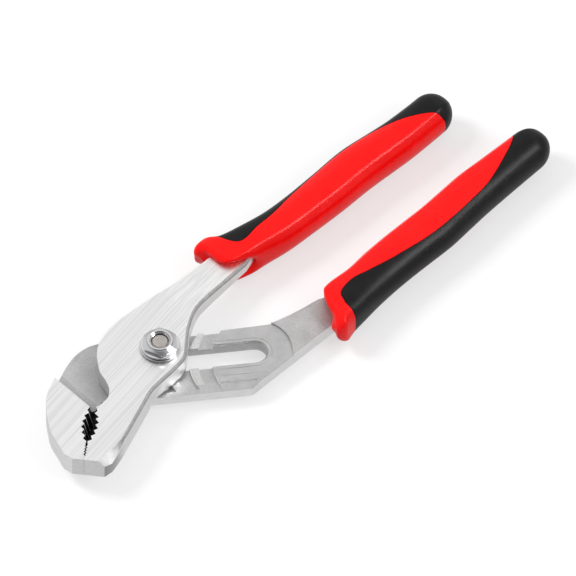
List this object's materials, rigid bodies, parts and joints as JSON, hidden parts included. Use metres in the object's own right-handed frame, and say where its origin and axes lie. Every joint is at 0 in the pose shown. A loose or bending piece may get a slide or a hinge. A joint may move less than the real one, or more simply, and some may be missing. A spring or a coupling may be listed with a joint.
{
  "type": "water pump pliers",
  "caption": "Water pump pliers with a grooved slip joint, toothed angled jaws, a pivot bolt with washer and nut, and red and black moulded grips.",
  "frame": {"origin": "on the pivot axis, in the outer face of the bolt head, which the tool lies on, with the bolt in the groove nearest the jaws", "axes": "+X back along the handles, +Y towards the handle of the plate arm, +Z along the bolt towards the nut; the jaws point to -X"},
  "size_m": [0.2568, 0.0738, 0.0226],
  "materials": {
    "blasted_steel": "bead-blasted, matte grey",
    "brushed_steel": "brushed lengthwise, satin",
    "bright_steel": "polished",
    "red_plastic": "smooth, satin gloss",
    "black_rubber": "fine satin"
  },
  "bodies": {
    "grooved_half": {"slotted_arm": "blasted_steel", "lower_grip_sleeve": "red_plastic", "lower_grip_cover": "black_rubber"},
    "pivot": {"pivot_bolt": "bright_steel", "pivot_nut": "bright_steel", "nut_washer": "bright_steel"},
    "plate_half": {"plate_arm": "brushed_steel", "upper_grip_sleeve": "red_plastic", "upper_grip_cover": "black_rubber"}
  },
  "joints": [
    {"name": "slot_slide", "type": "slide", "parent": "grooved_half", "child": "pivot", "axis": [0.8028, -0.5962, 0], "range_m": [0, 0.038]},
    {"name": "jaw_hinge", "type": "hinge", "parent": "pivot", "child": "plate_half", "pos_m": [0, 0, 0], "axis": [0, 0, 1], "range_deg": [0, 50]}
  ]
}
